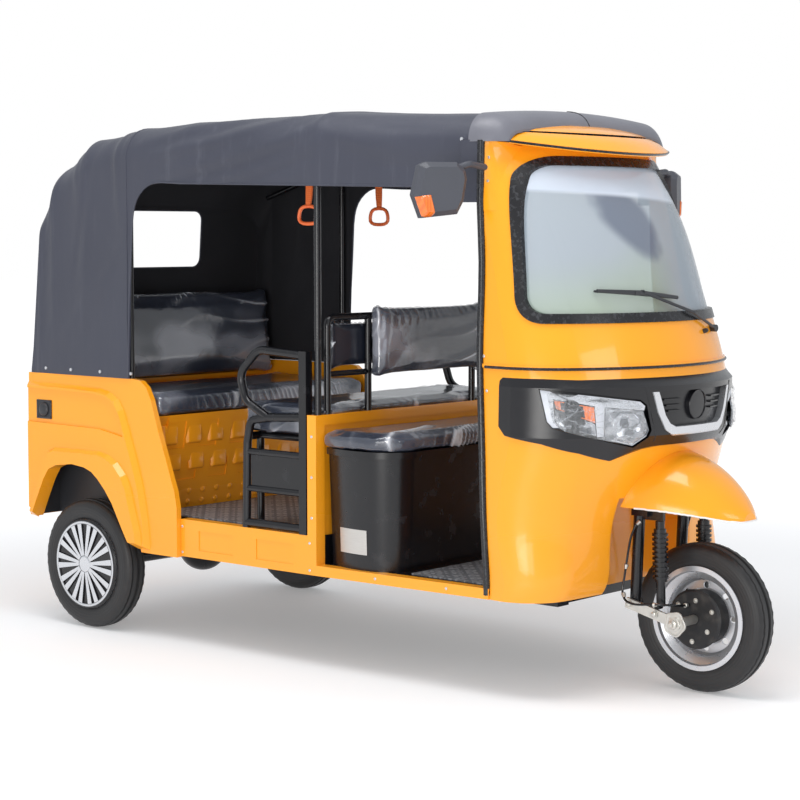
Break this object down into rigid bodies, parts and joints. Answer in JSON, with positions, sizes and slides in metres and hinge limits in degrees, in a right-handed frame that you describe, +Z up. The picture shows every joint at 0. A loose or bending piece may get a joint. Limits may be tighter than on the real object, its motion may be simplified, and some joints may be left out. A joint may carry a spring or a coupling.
{
  "type": "auto rickshaw",
  "caption": "Three-wheeled passenger auto rickshaw with a steel cab, fabric canopy, two rear benches and a steered front wheel on a leading-link fork.",
  "frame": {"origin": "on the ground, under the middle of the bounding box", "axes": "+X forward along the vehicle, +Y to its left, +Z up"},
  "size_m": [2.9499, 1.49, 1.9218],
  "materials": {
    "body_yellow": "gloss",
    "black_metal": "satin",
    "black_plastic": "matte",
    "grey_plastic": "satin",
    "gloss_black": "gloss",
    "silver_plastic": "metallic",
    "steel": "zinc plated",
    "cast": "rough",
    "vinyl": "embossed",
    "canvas": "coated canvas",
    "webbing": "woven",
    "rubber": "matte",
    "tyre": "matte",
    "glass": "clear",
    "lens": "clear",
    "red_lens": "clear"
  },
  "bodies": {
    "chassis": {"bench_frames": "black_metal", "canopy": "canvas", "canopy_frame": "black_metal", "dashboard": "black_plastic", "driver_back_pad": "vinyl", "driver_seat_box": "black_metal", "driver_seat_cushion": "vinyl", "engine_block": "cast", "floor_mats": "rubber", "floor_pan": "black_metal", "frame_crossmembers": "black_metal", "frame_rails": "black_metal", "front_fender": "body_yellow", "front_lower_shell": "body_yellow", "front_upper_shell": "body_yellow", "grille_trim": "silver_plastic", "hang_straps": "webbing", "headlight_mask": "gloss_black", "headlights": "lens", "leaf_springs": "black_metal", "mid_bench_back": "vinyl", "mid_bench_cushion": "vinyl", "mirrors": "black_plastic", "partition": "body_yellow", "propeller_shaft": "black_metal", "rear_axle": "black_metal", "rear_body_back": "body_yellow", "rear_seat_back": "vinyl", "rear_seat_base": "body_yellow", "rear_seat_cushion": "vinyl", "rear_side_panels": "body_yellow", "roof_cap": "grey_plastic", "roof_lip": "black_plastic", "roof_visor": "body_yellow", "side_guards": "black_metal", "side_sills": "body_yellow", "steering_head": "black_metal", "tail_lamps": "red_lens", "wheel_houses": "black_plastic", "wheel_well": "body_yellow", "windscreen_glass": "glass", "windscreen_seal": "rubber", "wiper": "black_plastic"},
    "steering": {"fork": "black_metal", "front_links": "steel", "front_shocks": "black_metal", "brake_plate": "cast", "handlebar": "black_metal", "handlebar_grips": "rubber"},
    "front_wheel": {"front_tyre": "tyre", "front_rim": "silver_plastic", "front_hub": "cast"},
    "rear_right_wheel": {"rear_right_hubcap": "silver_plastic", "rear_right_rim": "steel", "rear_right_tyre": "tyre"},
    "rear_left_wheel": {"rear_left_hubcap": "silver_plastic", "rear_left_rim": "steel", "rear_left_tyre": "tyre"}
  },
  "joints": [
    {"name": "steering_turn", "type": "hinge", "parent": "chassis", "child": "steering", "pos_m": [1.085, 0, 0.56], "axis": [-0.2982, 0, 0.9545], "range_deg": [-38, 38]},
    {"name": "front_wheel_roll", "type": "hinge", "parent": "steering", "child": "front_wheel", "pos_m": [1.23, 0, 0.245], "axis": [0, 1, 0], "continuous": true},
    {"name": "rear_right_wheel_roll", "type": "hinge", "parent": "chassis", "child": "rear_right_wheel", "pos_m": [-1.13, -0.563, 0.245], "axis": [0, 1, 0], "continuous": true},
    {"name": "rear_left_wheel_roll", "type": "hinge", "parent": "chassis", "child": "rear_left_wheel", "pos_m": [-1.13, 0.563, 0.245], "axis": [0, 1, 0], "continuous": true}
  ]
}
